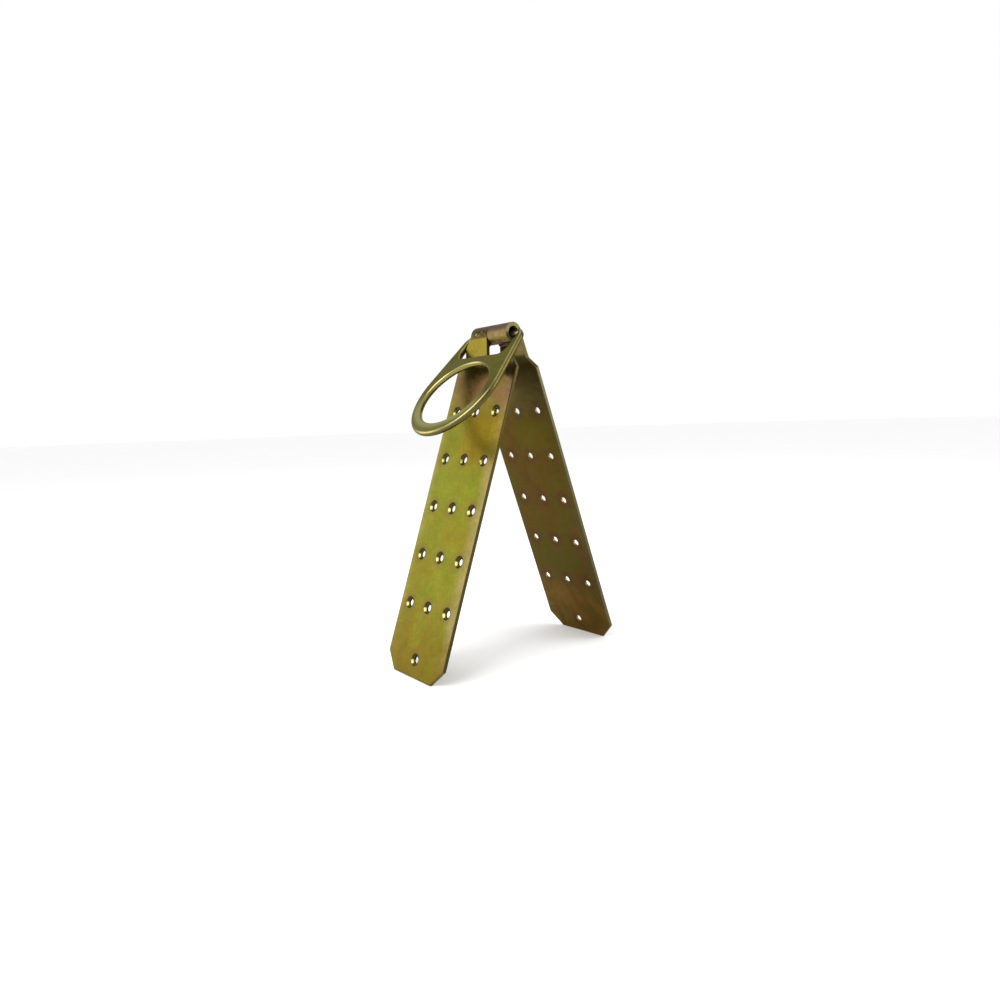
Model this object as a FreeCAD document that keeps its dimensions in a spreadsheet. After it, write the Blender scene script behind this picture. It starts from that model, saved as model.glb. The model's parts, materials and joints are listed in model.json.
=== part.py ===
import FreeCAD, Part
import math
import os

import Sketcher

# A hinged ridge anchor for roof work: two identical-looking plated steel legs whose curled ends
# share one hinge line, and a forged D-ring whose straight bar is the hinge pin.
# Frame: +Z up, X along the hinge line, the front leg towards -Y, the origin on the ground
# below the middle of the hinge. Each leg is modelled hanging straight down from its hinge line,
# with its outer face towards -Y, and is then tilted out to its standing angle.

DIMENSIONS = {
    "plate_width": 76.2,
    "plate_thick": 3.0,
    "leg_length": 272.4,
    "leg_lean": 19.3,
    "plate_top": 20.5,
    "foot_chamfer": 12.8,
    "shoulder_across": 8.3,
    "shoulder_along": 8.7,
    "column_pitch": 25.4,
    "row_pitch": 39.0,
    "first_row": 63.5,
    "row_count": 5,
    "foot_hole": 259.4,
    "nail_hole_dia": 5.6,
    "nail_sink_dia": 10.0,
    "sink_angle": 120.0,
    "barrel_radius": 7.7,
    "barrel_end": 22.3,
    "front_split": -1.85,
    "back_split": 1.15,
    "neck_half": 29.8,
    "flare_start": 2.0,
    "front_flare_end": 11.5,
    "back_flare_end": 20.5,
    "strap_slope": 18.0,
    "bend_radius": 12.0,
    "edge_round": 0.6,
    "curl_end": 80.0,
    "strap_tail": 30.0,
    "weld_radius": 2.7,
    "weld_out": 2.2,
    "weld_drop": 8.2,
    "ring_thick": 5.0,
    "ring_radius": 45.7,
    "ring_centre": 56.1,
    "ring_top_half": 35.2,
    "ring_top": 2.7,
    "ring_shoulder": 9.0,
    "ring_swing": 42.6,
    "eye_across": 36.0,
    "eye_along": 30.1,
    "eye_centre": 60.6,
    "slot_half": 30.3,
    "slot_foot": 22.4,
    "slot_corner": 8.0,
    "bar_radius": 2.6,
    "bar_end": 31.2,
    "bar_drop": 1.5,
    "bar_out": 0.5,
    "forged_round": 2.2,
}
TOL = 0.01          # two lengths closer than this are the same
PARALLEL = 1e-6     # how far from 1 the dot product of parallel directions may be
FAR = 1000.0        # beyond every part, for boxes that only limit one direction
CLEAR = 20.0        # how far a cutting outline reaches past the shape it cuts
LEAST_CUT = 1.0     # a cut that removes less than this volume missed its target

doc = FreeCAD.newDocument("roof_anchor")
sheet = doc.addObject("Spreadsheet::Sheet", "dims")
for row, (alias, value) in enumerate(DIMENSIONS.items(), start=1):
    sheet.set(f"A{row}", alias)
    sheet.set(f"B{row}", str(value))
    sheet.setAlias(f"B{row}", alias)
doc.recompute()


def size(alias):
    """A driving dimension, read back from the sheet."""
    return float(sheet.get(alias))


def vec(x, y, z=0.0):
    return FreeCAD.Vector(x, y, z)


def origin_plane(body, role):
    """The body's own origin plane with that role, such as XZ_Plane."""
    for feature in body.Origin.OriginFeatures:
        if feature.Role == role:
            return feature
    raise ValueError(f"{body.Name} has no {role}")


def new_sketch(body, name, role, lift=0.0, lift_formula=None):
    """A sketch on an origin plane of its body, lifted along the plane's normal."""
    sketch = body.newObject("Sketcher::SketchObject", name)
    sketch.AttachmentSupport = (origin_plane(body, role), [""])
    sketch.MapMode = "FlatFace"
    sketch.AttachmentOffset = FreeCAD.Placement(vec(0, 0, lift), FreeCAD.Rotation())
    if lift_formula:
        sketch.setExpression("AttachmentOffset.Base.z", lift_formula)
    return sketch


def constrain(sketch, kind, *where, value=None, formula=None):
    """Adds one constraint, bound to the sheet where a formula is given."""
    args = list(where) if value is None else list(where) + [value]
    index = sketch.addConstraint(Sketcher.Constraint(kind, *args))
    if formula:
        sketch.setExpression(f"Constraints[{index}]", formula)
    return index


def pin_point(sketch, edge, end, x, y):
    """Fixes a sketch point at x and y, each a (value, formula) pair."""
    constrain(sketch, "DistanceX", -1, 1, edge, end, value=x[0], formula=x[1])
    constrain(sketch, "DistanceY", -1, 1, edge, end, value=y[0], formula=y[1])


def closed_polygon(sketch, corners):
    """A closed run of straight lines, every corner given as ((x, formula), (y, formula))."""
    count = len(corners)
    for i in range(count):
        (x0, _), (y0, _) = corners[i]
        (x1, _), (y1, _) = corners[(i + 1) % count]
        sketch.addGeometry(Part.LineSegment(vec(x0, y0), vec(x1, y1)), False)
    for i in range(count):
        constrain(sketch, "Coincident", i, 2, (i + 1) % count, 1)
    for i in range(count):
        pin_point(sketch, i, 1, *corners[i])


def edges_where(shape, wanted):
    """Names of the shape's edges that the test accepts."""
    return [f"Edge{i}" for i, edge in enumerate(shape.Edges, start=1) if wanted(edge)]


def dress(body, kind, name, base, edges, **formulas):
    """A chamfer or fillet of named edges, its sizes bound to the sheet."""
    feature = body.newObject(kind, name)
    feature.Base = (base, edges)
    for prop, formula in formulas.items():
        feature.setExpression(prop, formula)
    doc.recompute()
    return feature


def runs_along(edge, axis, low, high):
    """True for a straight edge parallel to axis whose middle lies inside the box low..high."""
    if not isinstance(edge.Curve, Part.Line):
        return False
    middle = edge.CenterOfMass
    inside = all(low[i] - TOL <= middle[i] <= high[i] + TOL for i in range(3))
    return inside and abs(edge.Curve.Direction[axis]) > 1 - PARALLEL


def across_plate(edge, height):
    """True for a straight edge that runs through a plate's thickness at that height."""
    return runs_along(edge, 1, (-FAR, -FAR, height), (FAR, FAR, height))


def must_cut(base, result, name):
    """Stops the build when a cutting feature left the shape as it was."""
    if result.Shape.Volume > base.Shape.Volume - LEAST_CUT:
        raise ValueError(f"{name} removed nothing")


# ---------------------------------------------------------------- legs

def plate_blank(body):
    """The flat plate, wide as the leg, with 45 degree foot corners and sloped shoulders."""
    width, top, length = size("plate_width"), size("plate_top"), size("leg_length")
    sketch = new_sketch(body, body.Name + "_outline", "XZ_Plane")
    half = (width / 2, "dims.plate_width / 2")
    minus_half = (-width / 2, "-dims.plate_width / 2")
    head = (-top, "-dims.plate_top")
    foot = (-length, "-dims.leg_length")
    corners = [(minus_half, head), (half, head), (half, foot), (minus_half, foot)]
    closed_polygon(sketch, corners)
    blank = body.newObject("PartDesign::Pad", body.Name + "_plate")
    blank.Profile = sketch
    blank.Midplane = True
    blank.setExpression("Length", "dims.plate_thick")
    doc.recompute()
    feet = edges_where(blank.Shape, lambda e: across_plate(e, -length))
    cut_feet = dress(body, "PartDesign::Chamfer", body.Name + "_foot_corners", blank, feet,
                     Size="dims.foot_chamfer")
    heads = edges_where(cut_feet.Shape, lambda e: across_plate(e, -top))
    shoulders = body.newObject("PartDesign::Chamfer", body.Name + "_shoulders")
    shoulders.Base = (cut_feet, heads)
    shoulders.ChamferType = "Equal distance"
    shoulders.setExpression("Size", "(dims.shoulder_across + dims.shoulder_along) / 2")
    doc.recompute()
    face = size("plate_thick") / 2
    rim = edges_where(shoulders.Shape, lambda e: abs(abs(e.CenterOfMass.y) - face) < TOL)
    return dress(body, "PartDesign::Fillet", body.Name + "_eased_rim", shoulders, rim,
                 Radius="dims.edge_round")


def strap_profile(sketch):
    """Side view of the strap: up from the plate, bent outwards, tangent to the barrel, curled round."""
    thick = size("plate_thick")
    outer = size("barrel_radius")
    inner = outer - thick
    slope = math.radians(size("strap_slope"))
    middle = outer - thick / 2
    bend = size("bend_radius")
    kink = middle / math.sin(slope)
    run_off = bend * math.tan(slope / 2)
    tail = size("strap_tail")
    start = math.radians(size("curl_end") - 180)
    finish = math.pi + slope
    origin = vec(0, 0)
    bend_centre = vec(-bend, -(kink + run_off))
    up = vec(0, 0, 1)

    def arc(centre, radius, first, last):
        return Part.ArcOfCircle(Part.Circle(centre, up, radius), first, last)

    def point(centre, radius, angle):
        return centre + vec(radius * math.cos(angle), radius * math.sin(angle))

    outer_curl = sketch.addGeometry(arc(origin, outer, start, finish), False)
    inner_curl = sketch.addGeometry(arc(origin, inner, start, finish), False)
    outer_bend = sketch.addGeometry(arc(bend_centre, bend - thick / 2, 0, slope), False)
    inner_bend = sketch.addGeometry(arc(bend_centre, bend + thick / 2, 0, slope), False)
    outer_face = sketch.addGeometry(Part.LineSegment(point(origin, outer, finish),
                                                     point(bend_centre, bend - thick / 2, slope)), False)
    inner_face = sketch.addGeometry(Part.LineSegment(point(origin, inner, finish),
                                                     point(bend_centre, bend + thick / 2, slope)), False)
    outer_tail = sketch.addGeometry(Part.LineSegment(vec(-thick / 2, bend_centre.y),
                                                     vec(-thick / 2, -tail)), False)
    inner_tail = sketch.addGeometry(Part.LineSegment(vec(thick / 2, bend_centre.y),
                                                     vec(thick / 2, -tail)), False)
    lip = sketch.addGeometry(Part.LineSegment(point(origin, outer, start),
                                              point(origin, inner, start)), False)
    foot = sketch.addGeometry(Part.LineSegment(vec(-thick / 2, -tail), vec(thick / 2, -tail)), False)

    constrain(sketch, "Coincident", outer_curl, 3, -1, 1)
    constrain(sketch, "Coincident", inner_curl, 3, -1, 1)
    constrain(sketch, "Radius", outer_curl, value=outer, formula="dims.barrel_radius")
    constrain(sketch, "Radius", inner_curl, value=inner, formula="dims.barrel_radius - dims.plate_thick")
    constrain(sketch, "Tangent", outer_curl, 2, outer_face, 1)
    constrain(sketch, "Tangent", inner_curl, 2, inner_face, 1)
    constrain(sketch, "Tangent", outer_face, 2, outer_bend, 2)
    constrain(sketch, "Tangent", inner_face, 2, inner_bend, 2)
    constrain(sketch, "Tangent", outer_bend, 1, outer_tail, 1)
    constrain(sketch, "Tangent", inner_bend, 1, inner_tail, 1)
    constrain(sketch, "Coincident", outer_bend, 3, inner_bend, 3)
    constrain(sketch, "Radius", outer_bend, value=bend - thick / 2,
              formula="dims.bend_radius - dims.plate_thick / 2")
    constrain(sketch, "Vertical", outer_tail)
    constrain(sketch, "Vertical", inner_tail)
    constrain(sketch, "Coincident", outer_curl, 1, lip, 1)
    constrain(sketch, "Coincident", inner_curl, 1, lip, 2)
    constrain(sketch, "PointOnObject", -1, 1, lip)
    constrain(sketch, "Coincident", outer_tail, 2, foot, 1)
    constrain(sketch, "Coincident", inner_tail, 2, foot, 2)
    constrain(sketch, "Horizontal", foot)
    pin_point(sketch, outer_tail, 2, (-thick / 2, "-dims.plate_thick / 2"), (-tail, "-dims.strap_tail"))
    constrain(sketch, "DistanceX", foot, 1, foot, 2, value=thick, formula="dims.plate_thick")
    lip_x = outer * math.cos(start)
    constrain(sketch, "DistanceX", -1, 1, outer_curl, 1, value=lip_x,
              formula="-dims.barrel_radius * cos(dims.curl_end)")


def add_strap(body, split, flare_end):
    """The strap and its curled end, padded along the hinge line and trimmed to its flared outline."""
    name = body.Name
    sketch = new_sketch(body, name + "_strap_side", "YZ_Plane", -size("neck_half"), "-dims.neck_half")
    strap_profile(sketch)
    strap = body.newObject("PartDesign::Pad", name + "_strap")
    strap.Profile = sketch
    strap.setExpression("Length", f"dims.neck_half + dims.{split}")
    doc.recompute()
    neck, end = size("neck_half"), size("barrel_end")
    full, flare = size(flare_end), size("flare_start")
    flare_cut = new_sketch(body, name + "_flare", "XZ_Plane")
    far = (-neck - CLEAR, f"-dims.neck_half - {CLEAR}")
    above = (CLEAR, None)
    corners = [
        ((-neck, "-dims.neck_half"), (-full, f"-dims.{flare_end}")),
        ((-end, "-dims.barrel_end"), (-flare, "-dims.flare_start")),
        ((-end, "-dims.barrel_end"), above),
        (far, above),
        (far, (-full, f"-dims.{flare_end}")),
    ]
    closed_polygon(flare_cut, corners)
    trim = body.newObject("PartDesign::Pocket", name + "_flared_side")
    trim.Profile = flare_cut
    trim.Type = "ThroughAll"
    trim.Midplane = True
    doc.recompute()
    must_cut(strap, trim, name + "_flared_side")
    return trim


def nail_holes(body, base):
    """Five rows of three countersunk nail holes and one more near the foot, sunk from the outside."""
    name = body.Name
    thick = size("plate_thick")
    sketch = new_sketch(body, name + "_hole_centres", "XZ_Plane", thick / 2, "dims.plate_thick / 2")
    places = []
    for row in range(int(size("row_count"))):
        for column in (-1, 0, 1):
            x = (column * size("column_pitch"), f"{column} * dims.column_pitch")
            y = (-size("first_row") - row * size("row_pitch"), f"-dims.first_row - {row} * dims.row_pitch")
            places.append((x, y))
    places.append(((0.0, None), (-size("foot_hole"), "-dims.foot_hole")))
    radius = size("nail_hole_dia") / 2
    for i, (x, y) in enumerate(places):
        sketch.addGeometry(Part.Circle(vec(x[0], y[0]), vec(0, 0, 1), radius), False)
        pin_point(sketch, i, 3, x, y)
        constrain(sketch, "Radius", i, value=radius, formula="dims.nail_hole_dia / 2")
    doc.recompute()
    holes = body.newObject("PartDesign::Hole", name + "_nail_holes")
    holes.Profile = sketch
    holes.ThreadType = "None"
    holes.DepthType = "ThroughAll"
    holes.HoleCutType = "Countersink"
    holes.HoleCutCustomValues = True
    holes.setExpression("Diameter", "dims.nail_hole_dia")
    holes.setExpression("HoleCutDiameter", "dims.nail_sink_dia")
    holes.setExpression("HoleCutCountersinkAngle", "dims.sink_angle")
    doc.recompute()
    if holes.Shape.Volume > base.Shape.Volume - LEAST_CUT:
        holes.Reversed = not holes.Reversed
        doc.recompute()
    must_cut(base, holes, name + "_nail_holes")
    return holes


def standing(turned):
    """Placement of a leg or its weld: hinge line at its height, tilted out, turned for the back leg."""
    lean = math.radians(size("leg_lean"))
    ease = size("edge_round")
    along = size("leg_length") - ease
    aside = size("plate_thick") / 2 - ease
    height = along * math.cos(lean) + aside * math.sin(lean) + ease
    tilt = FreeCAD.Rotation(vec(1, 0, 0), -size("leg_lean"))
    about = FreeCAD.Rotation(vec(0, 0, 1), 180 if turned else 0)
    return FreeCAD.Placement(vec(0, 0, height), about.multiply(tilt))


def make_leg(name, split, flare_end, turned):
    """One leg: plate, strap, curled end and nail holes."""
    body = doc.addObject("PartDesign::Body", name)
    body.Label = name
    plate_blank(body)
    trimmed = add_strap(body, split, flare_end)
    body.Tip = nail_holes(body, trimmed)
    body.Placement = standing(turned)
    doc.recompute()
    return body


def make_weld(name, leg, split, turned):
    """The weld bead that closes the curl: a round run in the corner between lip and strap."""
    bead = doc.addObject("Part::Cylinder", name + "_run")
    bead.setExpression("Radius", "dims.weld_radius")
    bead.setExpression("Height", f"dims.barrel_end + dims.{split}")
    along = FreeCAD.Rotation(vec(0, 1, 0), 90)
    start = vec(-size("barrel_end"), -size("weld_out"), -size("weld_drop"))
    bead.Placement = standing(turned).multiply(FreeCAD.Placement(start, along))
    weld = doc.addObject("Part::Cut", name)
    weld.Label = name
    weld.Base = bead
    weld.Tool = leg
    doc.recompute()
    return weld


# ---------------------------------------------------------------- D-ring

def ring_outline(sketch):
    """Straight top, straight sides that widen downwards, and a round foot tangent to both sides."""
    radius, centre = size("ring_radius"), size("ring_centre")
    half, top = size("ring_top_half"), size("ring_top")
    reach = math.hypot(half, centre + top)
    side_angle = math.atan2(centre + top, half) - math.acos(radius / reach)
    touch = vec(radius * math.cos(side_angle), -centre + radius * math.sin(side_angle))
    mirror = vec(-touch.x, touch.y)
    foot = Part.ArcOfCircle(Part.Circle(vec(0, -centre), vec(0, 0, 1), radius),
                            math.pi - side_angle, 2 * math.pi + side_angle)
    sketch.addGeometry(foot, False)
    sketch.addGeometry(Part.LineSegment(touch, vec(half, top)), False)
    sketch.addGeometry(Part.LineSegment(vec(half, top), vec(-half, top)), False)
    sketch.addGeometry(Part.LineSegment(vec(-half, top), mirror), False)
    constrain(sketch, "Tangent", 0, 2, 1, 1)
    constrain(sketch, "Tangent", 0, 1, 3, 2)
    constrain(sketch, "Coincident", 1, 2, 2, 1)
    constrain(sketch, "Coincident", 2, 2, 3, 1)
    constrain(sketch, "Radius", 0, value=radius, formula="dims.ring_radius")
    pin_point(sketch, 0, 3, (0.0, None), (-centre, "-dims.ring_centre"))
    pin_point(sketch, 2, 1, (half, "dims.ring_top_half"), (top, "dims.ring_top"))
    pin_point(sketch, 2, 2, (-half, "-dims.ring_top_half"), (top, "dims.ring_top"))


def through_pocket(body, name, sketch, base):
    """A symmetric pocket right through, checked by volume."""
    pocket = body.newObject("PartDesign::Pocket", name)
    pocket.Profile = sketch
    pocket.Type = "ThroughAll"
    pocket.Midplane = True
    doc.recompute()
    must_cut(base, pocket, name)
    return pocket


def make_ring():
    """The forged D-ring: a flat ring with a big eye, a slot above it, and a round bar across the slot."""
    body = doc.addObject("PartDesign::Body", "d_ring")
    body.Label = "d_ring"
    outline = new_sketch(body, "ring_outline", "XZ_Plane")
    ring_outline(outline)
    blank = body.newObject("PartDesign::Pad", "ring_blank")
    blank.Profile = outline
    blank.Midplane = True
    blank.setExpression("Length", "dims.ring_thick")
    doc.recompute()
    top = size("ring_top")
    shoulder_edges = edges_where(blank.Shape, lambda e: across_plate(e, top))
    shouldered = dress(body, "PartDesign::Fillet", "ring_shoulders", blank, shoulder_edges,
                       Radius="dims.ring_shoulder")
    slot = new_sketch(body, "slot_outline", "XZ_Plane")
    half, foot = size("slot_half"), size("slot_foot")
    right, left = (half, "dims.slot_half"), (-half, "-dims.slot_half")
    closed_polygon(slot, [
        (left, (CLEAR, None)),
        (right, (CLEAR, None)),
        (right, (-foot, "-dims.slot_foot")),
        (left, (-foot, "-dims.slot_foot")),
    ])
    slotted = through_pocket(body, "slot", slot, shouldered)
    corners = edges_where(slotted.Shape, lambda e: across_plate(e, -foot))
    eased = dress(body, "PartDesign::Fillet", "slot_corners", slotted, corners, Radius="dims.slot_corner")
    eye = new_sketch(body, "eye_outline", "XZ_Plane")
    across, along, centre = size("eye_across"), size("eye_along"), size("eye_centre")
    oval = Part.Ellipse(vec(across, -centre), vec(0, along - centre), vec(0, -centre))
    eye.addGeometry(oval, False)
    eye.exposeInternalGeometry(0)
    pin_point(eye, 0, 3, (0.0, None), (-centre, "-dims.eye_centre"))
    long_axis, short_axis = 1, 2
    constrain(eye, "Horizontal", long_axis)
    constrain(eye, "Distance", long_axis, value=2 * across, formula="2 * dims.eye_across")
    constrain(eye, "Distance", short_axis, value=2 * along, formula="2 * dims.eye_along")
    eyed = through_pocket(body, "eye", eye, eased)
    flat = size("ring_thick") / 2
    rims = edges_where(eyed.Shape, lambda e: abs(e.BoundBox.YMin - e.BoundBox.YMax) < TOL
                       and abs(abs(e.BoundBox.YMin) - flat) < TOL)
    dress(body, "PartDesign::Fillet", "forged_rounding", eyed, rims, Radius="dims.forged_round")
    bar_sketch = new_sketch(body, "bar_section", "YZ_Plane")
    bar_sketch.addGeometry(Part.Circle(vec(0, 0), vec(0, 0, 1), size("bar_radius")), False)
    constrain(bar_sketch, "Coincident", 0, 3, -1, 1)
    constrain(bar_sketch, "Radius", 0, value=size("bar_radius"), formula="dims.bar_radius")
    bar = body.newObject("PartDesign::Pad", "hinge_bar")
    bar.Profile = bar_sketch
    bar.Midplane = True
    bar.setExpression("Length", "2 * dims.bar_end")
    doc.recompute()
    body.Tip = bar
    hinge = standing(False).Base
    tilt = FreeCAD.Rotation(vec(1, 0, 0), -size("ring_swing"))
    body.Placement = FreeCAD.Placement(hinge + vec(0, -size("bar_out"), -size("bar_drop")), tilt)
    doc.recompute()
    return body


def check(objects):
    """Stops on any failed feature or bad shape before anything is written."""
    for thing in doc.Objects:
        if "Invalid" in thing.State or "Error" in thing.State:
            raise ValueError(f"{thing.Name} failed: {thing.State}")
    for thing in objects:
        shape = thing.Shape
        if shape.isNull() or not shape.isValid() or not shape.Solids:
            raise ValueError(f"{thing.Label} has no valid solid")
        print(thing.Label, len(shape.Solids), "solid", round(shape.Volume), "mm3", shape.BoundBox)


front_leg = make_leg("front_leg", "front_split", "front_flare_end", False)
back_leg = make_leg("back_leg", "back_split", "back_flare_end", True)
front_weld = make_weld("front_curl_weld", front_leg, "front_split", False)
back_weld = make_weld("back_curl_weld", back_leg, "back_split", True)
d_ring = make_ring()
parts = [front_leg, back_leg, d_ring, front_weld, back_weld]
check(parts)
os.makedirs("parts", exist_ok=True)
for part in parts:
    part.Shape.exportStep(os.path.join("parts", part.Label + ".step"))
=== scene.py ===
import json
import math
import random

import bmesh
import bpy
from mathutils import Matrix, Vector


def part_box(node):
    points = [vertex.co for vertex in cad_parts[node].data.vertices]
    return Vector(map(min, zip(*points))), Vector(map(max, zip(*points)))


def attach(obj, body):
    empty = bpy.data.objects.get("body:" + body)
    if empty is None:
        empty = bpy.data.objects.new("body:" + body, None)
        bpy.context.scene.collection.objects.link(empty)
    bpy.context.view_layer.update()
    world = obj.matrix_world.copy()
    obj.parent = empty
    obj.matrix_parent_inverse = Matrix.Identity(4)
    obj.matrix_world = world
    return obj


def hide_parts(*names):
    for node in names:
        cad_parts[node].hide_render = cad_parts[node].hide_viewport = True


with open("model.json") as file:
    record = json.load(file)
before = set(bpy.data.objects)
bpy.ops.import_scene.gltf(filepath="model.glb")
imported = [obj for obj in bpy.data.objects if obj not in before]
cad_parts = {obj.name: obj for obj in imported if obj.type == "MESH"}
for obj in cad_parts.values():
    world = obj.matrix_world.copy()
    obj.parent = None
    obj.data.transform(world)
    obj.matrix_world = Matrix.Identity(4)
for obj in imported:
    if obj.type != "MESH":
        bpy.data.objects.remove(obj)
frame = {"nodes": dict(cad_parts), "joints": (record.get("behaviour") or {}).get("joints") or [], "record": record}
bpy.context.view_layer.update()
random.seed(7)

MM = 0.001
scene = bpy.context.scene
nodes = frame["nodes"]
joints = {joint["name"]: joint for joint in frame["joints"]}
mounts = {mount["name"]: mount for mount in frame["record"]["mounts"]}
HINGE = Vector(joints["leg_fold"]["pos_m"])
PLATE_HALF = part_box("front_leg")[1].x
BARREL_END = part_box("back_curl_weld")[1].x

# sizes of the steel pieces that the colours follow
PLATE_THICK = 3.0 * MM
OUTER_FACE = 1.5 * MM           # from the hinge line's plane to a leg's outer face
COLUMN = 25.4 * MM              # between neighbouring holes across the plate
LAST_ROW = 4.0                  # rows are counted from 0
SINK_RADIUS = 5.0 * MM
SINK_DEPTH = 1.27 * MM
CURL_RADIUS = 7.7 * MM
BORE = 4.7 * MM
BAR_RADIUS = 2.6 * MM
EYE_ACROSS, EYE_ALONG = 36.0 * MM, 30.1 * MM

# stretches along a leg, from the hinge line, over which a stain or a band of painted light and shade fades in or
# out
STRAP_STARTS, STRAP_ENDS = (0.0, 3 * MM), (20 * MM, 27 * MM)
HEAD_STARTS, HEAD_ENDS = (26 * MM, 34 * MM), (42 * MM, 72 * MM)
GLOW_STARTS, GLOW_ENDS = (55 * MM, 75 * MM), (90 * MM, 120 * MM)
GLOW_SIDE = (-20 * MM, 5 * MM)
FOOT_STARTS = (205 * MM, 250 * MM)
CREASE_STARTS, CREASE_ENDS = (-3 * MM, 0.0), (1.5 * MM, 4 * MM)
CREASE_OUT = (4 * MM, 6 * MM)


# ---------------------------------------------------------------- places in a leg's own plane

def pointing_down(direction):
    """The same direction, or its opposite, whichever leads downwards."""
    return -direction if direction.z > 0 else direction


def leg_axes(leg):
    """Unit vectors of a leg at rest: down the leg from the hinge, and out of its outer face."""
    out = Vector(mounts[leg + "_nails_row_1"]["axis"]).normalized()
    return pointing_down(Vector((1, 0, 0)).cross(out)), out


def hole_rows(leg):
    """How far the first row of holes is from the hinge, the pitch of the rows, and the foot hole."""
    down, _ = leg_axes(leg)

    def reach(name):
        return (Vector(mounts[leg + name]["pos_m"]) - HINGE).dot(down)

    first = reach("_nails_row_1")
    last = reach("_nails_row_5")
    foot = 2 * reach("_nails_centre_foot") - last
    return first, (last - first) / LAST_ROW, foot


# ---------------------------------------------------------------- shader helpers

class Nodes:
    """A short way to write a material's node tree."""

    def __init__(self, name):
        self.material = bpy.data.materials.new(name)
        self.material.use_nodes = True
        self.tree = self.material.node_tree
        self.tree.nodes.clear()

    def add(self, kind, **settings):
        node = self.tree.nodes.new(kind)
        for key, value in settings.items():
            setattr(node, key, value)
        return node

    def wire(self, value, socket):
        if isinstance(value, bpy.types.NodeSocket):
            self.tree.links.new(value, socket)
        elif value is not None:
            socket.default_value = value

    def math(self, operation, a, b=None, clamp=False):
        node = self.add("ShaderNodeMath", operation=operation, use_clamp=clamp)
        self.wire(a, node.inputs[0])
        self.wire(b, node.inputs[1])
        return node.outputs[0]

    def total(self, first, *others):
        for value in others:
            first = self.math("ADD", first, value)
        return first

    def product(self, first, *others):
        for value in others:
            first = self.math("MULTIPLY", first, value)
        return first

    def hypotenuse(self, a, b):
        return self.math("SQRT", self.total(self.math("POWER", a, 2.0), self.math("POWER", b, 2.0)))

    def sway(self, pattern, reach):
        """A 0..1 pattern as a length either side of zero."""
        return self.product(self.math("SUBTRACT", pattern, 0.5), reach)

    def vector(self, operation, a, b=None):
        node = self.add("ShaderNodeVectorMath", operation=operation)
        self.wire(a, node.inputs[0])
        self.wire(b, node.inputs[1])
        return node.outputs["Value"] if operation in ("DOT_PRODUCT", "LENGTH") else node.outputs[0]

    def reach(self, where, axis):
        """How far a place lies along an axis."""
        return self.vector("DOT_PRODUCT", where, tuple(axis))

    def noise(self, where, scale, detail=2.0, rough=0.5, distortion=0.0):
        node = self.add("ShaderNodeTexNoise")
        self.wire(where, node.inputs["Vector"])
        node.inputs["Scale"].default_value = scale
        node.inputs["Detail"].default_value = detail
        node.inputs["Roughness"].default_value = rough
        node.inputs["Distortion"].default_value = distortion
        return node.outputs["Fac"]

    def stretched(self, where, stretch):
        node = self.add("ShaderNodeMapping")
        self.wire(where, node.inputs["Vector"])
        node.inputs["Scale"].default_value = stretch
        return node.outputs[0]

    def span(self, value, low, high, to_low=0.0, to_high=1.0, smooth=True):
        node = self.add("ShaderNodeMapRange", interpolation_type="SMOOTHSTEP" if smooth else "LINEAR")
        for item, socket in zip((value, low, high, to_low, to_high), node.inputs):
            self.wire(item, socket)
        return node.outputs[0]

    def fade_out(self, value, stretch):
        return self.span(value, *stretch, 1.0, 0.0)

    def blend(self, amount, a, b):
        node = self.add("ShaderNodeMix", data_type="RGBA")
        self.wire(amount, node.inputs[0])
        self.wire(colour(a), node.inputs[6])
        self.wire(colour(b), node.inputs[7])
        return node.outputs[2]

    def ramp(self, value, stops):
        node = self.add("ShaderNodeValToRGB")
        self.wire(value, node.inputs[0])
        band = node.color_ramp
        while len(band.elements) < len(stops):
            band.elements.new(0.5)
        for element, (place, shade) in zip(band.elements, stops):
            element.position = place
            element.color = colour(shade)
        return node.outputs[0]


def colour(shade):
    """A display colour of three numbers 0..255 as a linear one; anything else is passed on."""
    if not isinstance(shade, tuple) or len(shade) != 3:
        return shade
    return tuple((part / 255) ** 2.2 for part in shade) + (1.0,)


# ---------------------------------------------------------------- plated steel

LEG_GLAZE = (0.62, 0.60, 0.68)      # tint of the plating's gloss at a glancing angle
RING_GLAZE = (0.60, 0.58, 0.54)
LEG_METAL, RING_METAL = 0.94, 0.96
RING_SHINE, WELD_SHINE = 0.22, 0.42
BUMP_STRENGTH, BUMP_HEIGHT = 0.07, 0.12 * MM
BEVEL_SAMPLES = 6


def rounded(n, radius):
    """The surface's direction with its edges rounded off."""
    bevel = n.add("ShaderNodeBevel", samples=BEVEL_SAMPLES)
    bevel.inputs["Radius"].default_value = radius
    return bevel.outputs[0]


def rim_mask(n, radius):
    """Near 1 along sharp edges, 0 on open faces."""
    plain = n.add("ShaderNodeNewGeometry").outputs["Normal"]
    return n.span(n.vector("DOT_PRODUCT", rounded(n, radius), plain), 0.995, 0.85)


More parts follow.
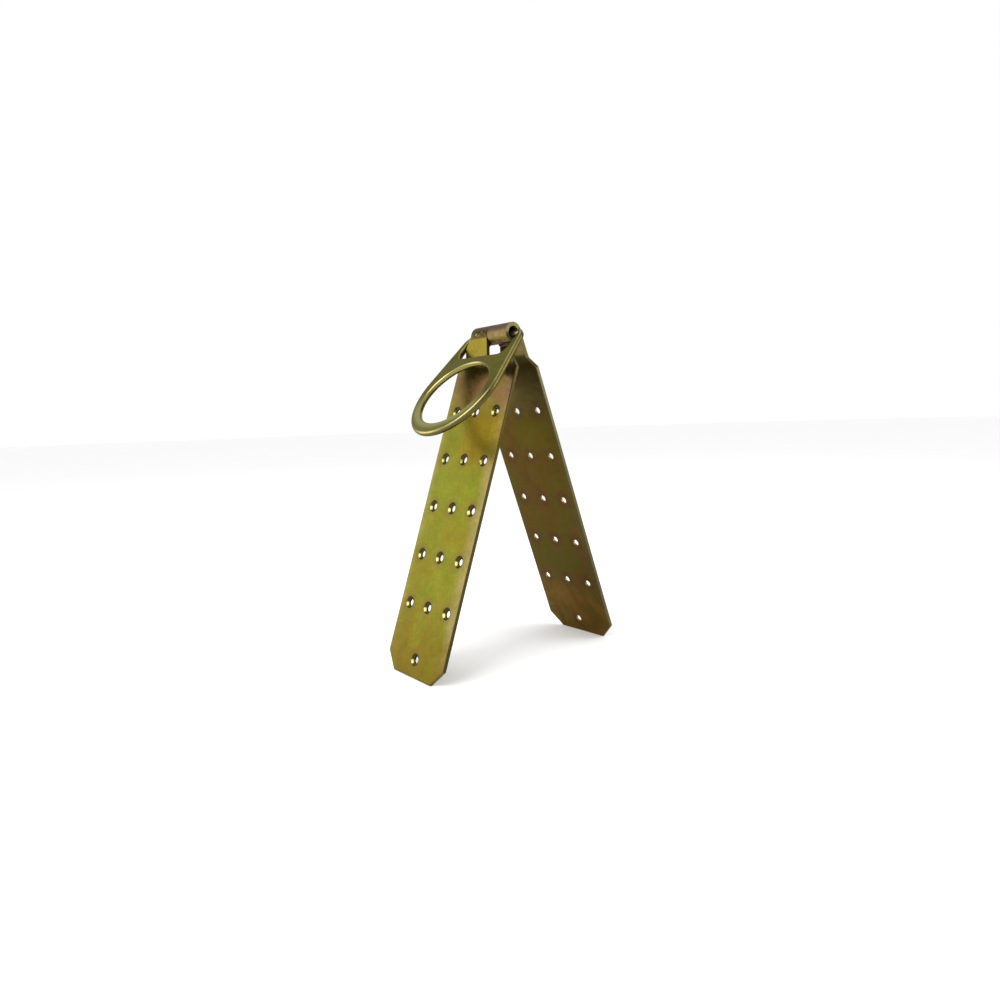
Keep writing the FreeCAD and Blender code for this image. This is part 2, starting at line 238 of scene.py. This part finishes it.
def finish_surface(n, where, base, shine, edge_radius, relief=None, metal=LEG_METAL, glaze=LEG_GLAZE):
    """Adds grain, fine scratches and rounded edges to a colour, and closes the material."""
    grain = n.noise(where, 1400.0, 3.0, 0.6)
    pits = n.noise(where, 420.0, 4.0, 0.65)
    waves = n.noise(where, 60.0, 2.0, 0.5)
    rough = n.total(n.span(pits, 0.3, 0.7, shine - 0.05, shine + 0.06),
                    n.span(waves, 0.3, 0.7, -0.04, 0.05))
    rough = n.math("ADD", rough, n.span(grain, 0.3, 0.7, -0.03, 0.03), clamp=True)
    height = n.total(n.product(grain, 0.25), n.product(pits, 0.9), n.product(waves, 2.0))
    if relief is not None:
        height = n.total(height, relief)
    bump = n.add("ShaderNodeBump")
    bump.inputs["Strength"].default_value = BUMP_STRENGTH
    bump.inputs["Distance"].default_value = BUMP_HEIGHT
    n.wire(height, bump.inputs["Height"])
    n.wire(rounded(n, edge_radius), bump.inputs["Normal"])
    shader = n.add("ShaderNodeBsdfPrincipled")
    n.wire(base, shader.inputs["Base Color"])
    shader.inputs["Metallic"].default_value = metal
    shader.inputs["Specular IOR Level"].default_value = 0.15
    shader.inputs["Specular Tint"].default_value = glaze + (1.0,)
    n.wire(rough, shader.inputs["Roughness"])
    n.wire(bump.outputs[0], shader.inputs["Normal"])
    output = n.add("ShaderNodeOutputMaterial")
    n.wire(shader.outputs[0], output.inputs["Surface"])
    return n.material


class LegPlating:
    """Yellow chromate plating on a leg: each method lays stains and painted light and shade over the colour so
    far.
    """

    def __init__(self, name, leg, look):
        self.n = n = Nodes(name)
        self.look = look
        self.where = n.add("ShaderNodeTexCoord").outputs["Object"]
        down, out = leg_axes(leg)
        from_hinge = n.vector("SUBTRACT", self.where, tuple(HINGE))
        self.along = n.reach(from_hinge, down)
        self.outward = n.reach(from_hinge, out)
        self.across = n.reach(self.where, (1, 0, 0))
        self.patch = n.noise(n.stretched(self.where, (1.0, 0.6, 0.6)), 38.0, 3.0, 0.55, 1.2)
        self.find_nearest_hole(*hole_rows(leg))
        self.base = self.drifting_face()
        self.stain_holes()
        self.stain_rims()
        self.stain_and_shade_lengthways()
        self.tint_and_shade_curl()
        self.shade_countersinks()
        self.fleck()
        self.light_and_shade_edges()
        relief = self.crease()
        self.material = finish_surface(n, self.where, self.base, look["shine"], 0.5 * MM, relief)

    def lay(self, shade, *shares):
        """Lays a colour over the surface so far, as strongly as the product of the shares."""
        self.base = self.n.blend(self.n.product(*shares), self.base, shade)

    def find_nearest_hole(self, first, pitch, foot):
        """Measures to the nearest hole of the grid and to the foot hole, and keeps the nearer."""
        n = self.n
        from_first = n.math("SUBTRACT", self.along, first)
        row = n.math("ROUND", n.math("DIVIDE", from_first, pitch))
        row = n.math("MINIMUM", n.math("MAXIMUM", row, 0.0), LAST_ROW)
        column = n.math("ROUND", n.math("DIVIDE", self.across, COLUMN))
        column = n.math("MINIMUM", n.math("MAXIMUM", column, -1.0), 1.0)
        off_row = n.math("SUBTRACT", from_first, n.product(row, pitch))
        off_foot = n.math("SUBTRACT", self.along, foot)
        self.sideways = n.math("SUBTRACT", self.across, n.product(column, COLUMN))
        grid = n.hypotenuse(off_row, self.sideways)
        single = n.hypotenuse(off_foot, self.across)
        self.to_hole = n.math("MINIMUM", grid, single)
        in_grid = n.math("LESS_THAN", grid, single)
        self.below = n.total(n.product(in_grid, off_row),
                             n.product(n.math("SUBTRACT", 1.0, in_grid), off_foot))

    def drifting_face(self):
        n = self.n
        drift = n.noise(self.where, 16.0, 2.0, 0.5, 0.6)
        streak = n.noise(n.stretched(self.where, (1.0, 0.1, 0.1)), 160.0, 2.0, 0.5)
        tint = n.total(n.product(drift, 0.65), n.product(self.patch, 0.35), n.sway(streak, 0.10))
        return n.ramp(tint, self.look["face"])

    def stain_holes(self):
        """A ragged halo round every hole."""
        n = self.n
        ragged = n.total(self.to_hole, n.sway(self.patch, 7 * MM))
        self.lay(self.look["halo"], n.fade_out(ragged, (4.6 * MM, 10.5 * MM)), self.look["halo_share"])

    def stain_rims(self):
        """The rims dried to another tint, wider on the +X side than on the other."""
        n, width = self.n, self.look["edge_width"]
        wander = n.sway(n.noise(self.where, 30.0, 2.0), 10 * MM)
        right = n.span(n.total(n.math("SUBTRACT", PLATE_HALF, self.across), wander), 0.0, width, 1.0, 0.0)
        left = n.span(n.total(PLATE_HALF, self.across, wander), 0.0, width / 2, 0.6, 0.0)
        self.lay(self.look["edge"], n.math("MAXIMUM", right, left), self.look["edge_share"])

    def stain_and_shade_lengthways(self):
        """The strap gets its own tint, lighter on the back leg as painted light over the shaded bend; near the top
        comes painted shade under the D-ring on the front leg and painted light over the bend on the back leg; the
        foot is stained.
        """
        n, look = self.n, self.look
        ragged = n.total(self.along, n.sway(self.patch, 14 * MM))
        blotch = n.span(n.noise(self.where, 26.0, 3.0, 0.6, 1.5), 0.40, 0.62, 0.35, 1.0)
        # strap tint; on the back leg this colour is painted light over the shaded bend
        self.lay(look["strap"], n.span(self.along, *STRAP_STARTS), n.fade_out(ragged, STRAP_ENDS),
                 look["strap_share"])
        # painted shade under the D-ring on the front leg, painted light over the shaded bend on the back leg
        self.lay(look["head"], n.span(ragged, *HEAD_STARTS), n.fade_out(ragged, HEAD_ENDS), blotch,
                 look["head_share"])
        self.lay(look["glow"], n.span(ragged, *GLOW_STARTS), n.fade_out(ragged, GLOW_ENDS),
                 n.span(self.across, *GLOW_SIDE), look["glow_share"])
        self.lay(look["foot"], n.span(ragged, *FOOT_STARTS), blotch, look["foot_share"])

    def tint_and_shade_curl(self):
        """Painted highlight and shade in bands along the curl by height, a tint on its end wall, and painted light
        on the wall of its bore.
        """
        n, look = self.n, self.look
        radial = n.hypotenuse(self.along, self.outward)
        mottle = n.sway(n.noise(self.where, 150.0, 4.0, 0.6, 0.6), 9 * MM)
        height = n.span(n.total(self.along, mottle), -8 * MM, 8 * MM, smooth=False)
        curled = n.span(radial, CURL_RADIUS + 0.5 * MM, CURL_RADIUS + 0.05 * MM)
        # painted highlight and shade: bands lighter and darker by height round the curl
        self.lay(n.ramp(height, look["curl"]), curled)
        end_wall = n.span(n.math("ABSOLUTE", self.across), BARREL_END - 0.25 * MM, BARREL_END - 0.05 * MM)
        self.lay(look["curl_end"], curled, end_wall, 0.8)
        # painted light on the wall of the bore, which lies in shade
        self.lay((128, 124, 104), n.span(radial, BORE + 0.3 * MM, BORE + 0.1 * MM))

    def shade_countersinks(self):
        """Painted shade in each countersink, graded from its top down, a painted highlight on one side, and the
        drilled wall below it in painted shade on the front leg and painted light on the back.
        """
        n, look = self.n, self.look
        depth = n.math("SUBTRACT", OUTER_FACE, self.outward)
        inside = n.product(n.span(depth, 0.03 * MM, 0.25 * MM),
                           n.span(depth, PLATE_THICK - 0.02 * MM, PLATE_THICK - 0.1 * MM),
                           n.span(self.to_hole, SINK_RADIUS + 0.4 * MM, SINK_RADIUS + 0.1 * MM))
        wall = n.ramp(n.span(self.below, -4 * MM, 4.5 * MM, smooth=False), look["sink"])
        # painted highlight on the side of each countersink that the pair in the look points to
        glint_across, glint_down = look["glint"]
        toward = n.total(n.product(self.sideways, glint_across), n.product(self.below, glint_down))
        off_middle = n.math("ABSOLUTE", n.math("SUBTRACT", self.to_hole, 3.9 * MM))
        glint = n.product(n.span(n.math("DIVIDE", toward, self.to_hole), 0.84, 1.0),
                         n.span(off_middle, 1.2 * MM, 0.3 * MM), look["glint_share"])
        wall = n.blend(glint, wall, (172, 170, 106))
        # drilled wall: painted shade on the front leg, painted light on the back
        drilled = n.span(depth, SINK_DEPTH + 0.01 * MM, SINK_DEPTH + 0.13 * MM)
        wall = n.blend(drilled, wall, look["drilled"])
        self.lay(wall, inside)

    def fleck(self):
        """Fine stains and specks all over."""
        n, look = self.n, self.look
        stain = n.noise(self.where, 330.0, 4.0, 0.7, 0.4)
        self.lay(look["fleck"], n.span(stain, 0.46, 0.64, 0.0, look["fleck_share"]))
        self.lay((60, 50, 26), n.span(n.noise(self.where, 900.0, 2.0, 0.7), 0.64, 0.76, 0.0, 0.12))

    def light_and_shade_edges(self):
        """Painted highlights along sharp edges, and the sheared sides of the plate in painted shade on the front
        leg and painted light on the back.
        """
        n = self.n
        # painted highlight along sharp edges
        self.lay(self.look["rim"], rim_mask(n, 0.7 * MM), 0.40)
        from_side = n.math("SUBTRACT", PLATE_HALF, n.math("ABSOLUTE", self.across))
        # sheared sides: painted shade on the front leg, painted light on the back
        self.lay(self.look["flank"], n.span(from_side, 0.4 * MM, 0.15 * MM), 0.85)

    def crease(self):
        """A pinched, marked band where the strap leaves the curl, with painted shade in its notches and painted
        highlights on its lumps; gives back its relief.
        """
        n = self.n
        band = n.product(n.span(self.along, *CREASE_STARTS), n.fade_out(self.along, CREASE_ENDS),
                         n.span(self.outward, *CREASE_OUT))
        lumps = n.noise(n.stretched(self.where, (1.0, 0.5, 0.5)), 360.0, 2.0, 0.6)
        # painted shade in the notches between the lumps
        self.lay((44, 34, 20), band, n.span(lumps, 0.52, 0.60, 0.75, 0.0))
        # painted highlights on the lumps
        self.lay((150, 142, 62), band, n.span(lumps, 0.56, 0.66, 0.0, 0.7))
        return n.product(band, lumps, 70.0)


def ring_plating(name):
    """The forged ring's plating: glossier, brown where the dip ran off, with painted highlights on its rims, its
    lower half and round its eye, and painted light and shade on its walls.
    """
    n = Nodes(name)
    coordinates = n.add("ShaderNodeTexCoord")
    where = coordinates.outputs["Object"]
    flat = Vector(mounts["ring_eye"]["axis"]).normalized()
    from_eye = n.vector("SUBTRACT", where, mounts["ring_eye"]["pos_m"])

    drift = n.noise(where, 22.0, 2.0, 0.5, 0.8)
    patch = n.noise(where, 75.0, 3.0, 0.6, 0.8)
    base = n.ramp(n.total(n.product(drift, 0.7), n.product(patch, 0.3)), RING_FACE)
    mottle = n.span(n.noise(where, 260.0, 4.0, 0.65), 0.45, 0.7, 0.0, 0.2)
    base = n.blend(mottle, base, (60, 48, 28))

    # painted light: the lower half is paler, and a painted highlight lies in a band round the eye
    lower = n.reach(from_eye, pointing_down(Vector((1, 0, 0)).cross(flat)))
    oval = n.hypotenuse(n.math("DIVIDE", n.reach(from_eye, (1, 0, 0)), EYE_ACROSS),
                        n.math("DIVIDE", lower, EYE_ALONG))
    lower_half_light = n.span(lower, -5 * MM, 22 * MM)
    eye_rim_highlight = n.product(n.span(oval, 1.24, 1.08), lower_half_light)
    base = n.blend(n.product(lower_half_light, 0.55), base, (122, 120, 76))
    base = n.blend(n.product(eye_rim_highlight, 0.55), base, (172, 170, 116))

    # painted light on the walls of the eye and painted shade on those of the outline, and patchy painted
    # highlights on the rims between wall and face
    lean = n.math("ABSOLUTE", n.reach(coordinates.outputs["Normal"], flat))
    wall = n.product(n.span(lean, 0.66, 0.35), 0.8)
    inner = n.span(n.vector("LENGTH", from_eye), 42 * MM, 38 * MM)
    base = n.blend(wall, base, n.blend(inner, (76, 66, 40), (140, 128, 76)))
    # patchy painted highlight on the rims
    rim = n.product(n.span(lean, 0.975, 0.88), n.span(lean, 0.52, 0.74))
    rim_highlight_patches = n.span(n.noise(where, 45.0, 3.0, 0.6), 0.35, 0.6, 0.4, 1.0)
    base = n.blend(n.product(rim, rim_highlight_patches), base, (148, 142, 92))

    # the straight bar inside the curls is duller
    from_bar = n.vector("SUBTRACT", where, joints["ring_swing"]["pos_m"])
    from_bar = n.vector("LENGTH", n.vector("MULTIPLY", from_bar, (0.0, 1.0, 1.0)))
    from_middle = n.math("ABSOLUTE", n.reach(where, (1, 0, 0)))
    bar = n.product(n.span(from_bar, BAR_RADIUS + 0.4 * MM, BAR_RADIUS + 0.1 * MM),
                    n.span(from_middle, BARREL_END + 8 * MM, BARREL_END + 7 * MM))
    base = n.blend(bar, base, (98, 94, 78))
    skin = n.product(n.noise(where, 190.0, 3.0, 0.6), 3.0)
    return finish_surface(n, where, base, RING_SHINE, 0.4 * MM, skin, RING_METAL, RING_GLAZE)


def weld_plating(name):
    """Plated weld metal: darker and duller than the plate beside it."""
    n = Nodes(name)
    where = n.add("ShaderNodeTexCoord").outputs["Object"]
    base = n.ramp(n.noise(where, 180.0, 3.0, 0.6), WELD_METAL)
    skin = n.product(n.noise(where, 500.0, 3.0, 0.6), 5.0)
    return finish_surface(n, where, base, WELD_SHINE, 0.2 * MM, skin)


def dress_node(obj, material):
    obj.data.materials.clear()
    obj.data.materials.append(material)


# Colours are display colours, shares say how strongly a stain, painted light or painted shade covers what is below
# it, and the pair after "sink" is the direction from a hole's centre to its painted highlight: across, and down
# the leg.
FRONT_LOOK = {
    "shine": 0.34,
    "face": [(0.34, (97, 86, 22)), (0.45, (98, 93, 22)), (0.55, (94, 98, 24)), (0.68, (103, 94, 28))],
    "edge": (122, 108, 72), "edge_share": 0.75, "edge_width": 14 * MM,
    # flank: painted shade on the sheared sides; rim: painted highlight on sharp edges
    "flank": (54, 50, 26), "rim": (150, 138, 84),
    "halo": (92, 74, 42), "halo_share": 0.5,
    "fleck": (92, 76, 36), "fleck_share": 0.28,
    "strap": (114, 99, 38), "strap_share": 0.7,
    # head: painted shade under the D-ring
    "head": (104, 70, 52), "head_share": 0.85,
    "glow": (108, 88, 6), "glow_share": 0.65,
    "foot": (94, 72, 14), "foot_share": 0.6,
    # curl: painted shade by height, darkest low on the curl
    "curl": [(0.0, (96, 82, 58)), (0.35, (88, 74, 48)), (0.6, (84, 78, 30)), (0.8, (66, 50, 30))],
    "curl_end": (94, 92, 58),
    # countersink colours: painted shade, a painted highlight, and a drilled wall in painted shade
    "sink": [(0.0, (60, 52, 26)), (0.5, (66, 60, 28)), (0.75, (84, 80, 30)), (1.0, (56, 50, 20))],
    "glint": (-0.88, 0.47), "glint_share": 1.0, "drilled": (52, 48, 24),
}
# The back leg's colours are painted darker than the front's, as painted shade on the leg that faces away from the
# light.
BACK_SHADED_LOOK = {
    "shine": 0.38,
    "face": [(0.34, (76, 56, 22)), (0.45, (80, 64, 16)), (0.55, (74, 68, 16)), (0.68, (82, 60, 24))],
    "edge": (76, 70, 46), "edge_share": 0.5, "edge_width": 8 * MM,
    # flank: painted light on the sheared sides; rim: painted highlight on sharp edges
    "flank": (84, 82, 58), "rim": (100, 90, 60),
    "halo": (74, 46, 32), "halo_share": 0.55,
    "fleck": (88, 66, 42), "fleck_share": 0.35,
    # strap and head: painted light over the shaded bend
    "strap": (102, 94, 56), "strap_share": 0.7,
    "head": (100, 90, 56), "head_share": 0.7,
    "glow": (84, 74, 10), "glow_share": 0.4,
    "foot": (114, 86, 36), "foot_share": 0.8,
    # curl: painted highlight at mid-height and painted shade low on the curl
    "curl": [(0.0, (92, 76, 56)), (0.3, (104, 88, 62)), (0.45, (116, 102, 66)), (0.62, (134, 116, 56)),
             (0.85, (80, 60, 38))],
    "curl_end": (94, 92, 58),
    # countersink colours: painted shade, a painted highlight, and a drilled wall in painted light
    "sink": [(0.0, (50, 38, 24)), (0.5, (70, 56, 32)), (1.0, (60, 54, 28))],
    "glint": (0.88, 0.47), "glint_share": 0.4, "drilled": (124, 114, 60),
}
RING_FACE = [(0.34, (82, 66, 42)), (0.45, (92, 86, 42)), (0.55, (98, 98, 44)), (0.66, (104, 90, 56))]
WELD_METAL = [(0.3, (70, 52, 36)), (0.5, (96, 78, 48)), (0.7, (84, 60, 46))]

dress_node(nodes["front_leg"], LegPlating("front_leg_plating_look", "front", FRONT_LOOK).material)
dress_node(nodes["back_leg"], LegPlating("back_leg_plating_look", "back", BACK_SHADED_LOOK).material)
dress_node(nodes["d_ring"], ring_plating("ring_plating_look"))
weld_skin = weld_plating("weld_plating_look")


# ---------------------------------------------------------------- weld beads

PUDDLE = 1.7 * MM           # from one weld puddle to the next
PUDDLE_STEPS = 5            # loops of the mesh in a puddle
BEAD_SIDES = 28
LEAST_LOOPS = 8
VALLEY, CREST = 0.91, 0.075     # a loop's size between puddles, and what a puddle adds, in radii
UNEVEN = 0.008
BLUNT_END, END_SLOPE = 0.55, 6.0
BOW, BOW_SLOPE = 0.32, 8.0      # how far a ripple bows forward at mid-height, in puddles


def weld_bead(name, node, body):
    """A run of overlapping weld puddles in place of the plain CAD run."""
    low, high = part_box(node)
    length = high.x - low.x
    radius = (high.z - low.z) / 2
    inner = low.y if abs(low.y) < abs(high.y) else high.y
    centre_y = inner + math.copysign(radius, inner)
    centre_z = (low.z + high.z) / 2
    last = max(LEAST_LOOPS, int(length / PUDDLE * PUDDLE_STEPS))
    mesh = bmesh.new()
    loops = []
    for i in range(last + 1):
        share = i / last
        to_end = min(share, 1 - share)
        x = low.x + length * share
        place = (share * length / PUDDLE) % 1.0
        ripple = VALLEY + CREST * math.sin(math.pi * place) ** 0.6 + random.uniform(-UNEVEN, UNEVEN)
        reach = radius * ripple * min(1.0, BLUNT_END + END_SLOPE * to_end)
        bow = BOW * PUDDLE * min(1.0, BOW_SLOPE * to_end)
        loop = []
        for j in range(BEAD_SIDES):
            angle = 2 * math.pi * j / BEAD_SIDES
            loop.append(mesh.verts.new((min(max(x - bow * math.cos(angle), low.x), high.x),
                                        centre_y + reach * math.cos(angle),
                                        centre_z + reach * math.sin(angle))))
        loops.append(loop)
    for a, b in zip(loops, loops[1:]):
        for j in range(BEAD_SIDES):
            k = (j + 1) % BEAD_SIDES
            mesh.faces.new((a[j], a[k], b[k], b[j])).smooth = True
    mesh.faces.new(list(reversed(loops[0])))
    mesh.faces.new(loops[-1])
    bmesh.ops.recalc_face_normals(mesh, faces=mesh.faces)
    data = bpy.data.meshes.new(name)
    mesh.to_mesh(data)
    mesh.free()
    bead = bpy.data.objects.new(name, data)
    scene.collection.objects.link(bead)
    data.materials.append(weld_skin)
    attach(bead, body)
    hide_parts(node)


weld_bead("front_weld_puddles", "front_curl_weld", "front")
weld_bead("back_weld_puddles", "back_curl_weld", "back")


# ---------------------------------------------------------------- floor, light, camera

FLOOR_RADIUS = 12.0
FLOOR_SHADE = (0.96, 0.96, 0.96, 1.0)
AIM = (0.0, 0.0, 0.15)


def floor_paper(name):
    """Matt white paper, a trace uneven."""
    n = Nodes(name)
    where = n.add("ShaderNodeTexCoord").outputs["Object"]
    tone = n.span(n.noise(where, 6.0, 3.0), 0.3, 0.7, 0.985, 1.0)
    shader = n.add("ShaderNodeBsdfPrincipled")
    n.wire(n.blend(tone, (0.0, 0.0, 0.0, 1.0), FLOOR_SHADE), shader.inputs["Base Color"])
    shader.inputs["Roughness"].default_value = 0.9
    n.wire(shader.outputs[0], n.add("ShaderNodeOutputMaterial").inputs["Surface"])
    return n.material


def make_floor():
    """A wide disc under the feet."""
    mesh = bmesh.new()
    bmesh.ops.create_circle(mesh, cap_ends=True, radius=FLOOR_RADIUS, segments=96)
    data = bpy.data.meshes.new("floor")
    mesh.to_mesh(data)
    mesh.free()
    floor = bpy.data.objects.new("floor", data)
    scene.collection.objects.link(floor)
    data.materials.append(floor_paper("floor_paper"))


def white_room():
    """Even white light from all round."""
    world = bpy.data.worlds.new("studio")
    scene.world = world
    world.use_nodes = True
    background = world.node_tree.nodes["Background"]
    background.inputs["Color"].default_value = (1.0, 1.0, 1.0, 1.0)
    background.inputs["Strength"].default_value = 1.0


def soft_light(name, place, size, power):
    """A square area light aimed at the middle of the anchor."""
    lamp = bpy.data.lights.new(name, "AREA")
    lamp.shape = "SQUARE"
    lamp.size = size
    lamp.energy = power
    rig = bpy.data.objects.new(name, lamp)
    scene.collection.objects.link(rig)
    rig.location = place
    rig.rotation_euler = (Vector(AIM) - Vector(place)).to_track_quat("-Z", "Y").to_euler()


CAMERA_TURN, CAMERA_RISE, CAMERA_ROLL = map(math.radians, (52.02, 6.26, -1.825))
CAMERA_DISTANCE = 589.36 * MM       # from the hinge, along the line of sight
CAMERA_RIGHT = 3.50 * MM
CAMERA_BELOW = 130.31 * MM
LENS = 26.872                       # millimetres, on a sensor 36 wide


def make_camera():
    """Stands where the photographer stood, in front of the hinge and a little above it."""
    turn, rise, roll = CAMERA_TURN, CAMERA_RISE, CAMERA_ROLL
    back = Vector((math.sin(turn) * math.cos(rise), -math.cos(turn) * math.cos(rise), math.sin(rise)))
    level = Vector((math.cos(turn), math.sin(turn), 0.0))
    upright = back.cross(level)
    right = level * math.cos(roll) + upright * math.sin(roll)
    up = upright * math.cos(roll) - level * math.sin(roll)
    place = HINGE + back * CAMERA_DISTANCE + right * CAMERA_RIGHT - up * CAMERA_BELOW
    lens = bpy.data.cameras.new("camera")
    lens.lens = LENS
    lens.sensor_width = 36.0
    lens.clip_start = 0.01
    view = bpy.data.objects.new("camera", lens)
    scene.collection.objects.link(view)
    view.matrix_world = Matrix((
        (right.x, up.x, back.x, place.x),
        (right.y, up.y, back.y, place.y),
        (right.z, up.z, back.z, place.z),
        (0.0, 0.0, 0.0, 1.0)))
    scene.camera = view


make_floor()
white_room()
soft_light("side_key", (-1.05, -0.76, 0.42), 0.8, 4.4)
soft_light("front_key", (0.08, -1.17, 1.08), 1.2, 18.0)
soft_light("back_light", (1.0, 0.85, 0.6), 0.9, 9.0)
scene.view_settings.view_transform = "Standard"
make_camera()

bpy.context.view_layer.update()
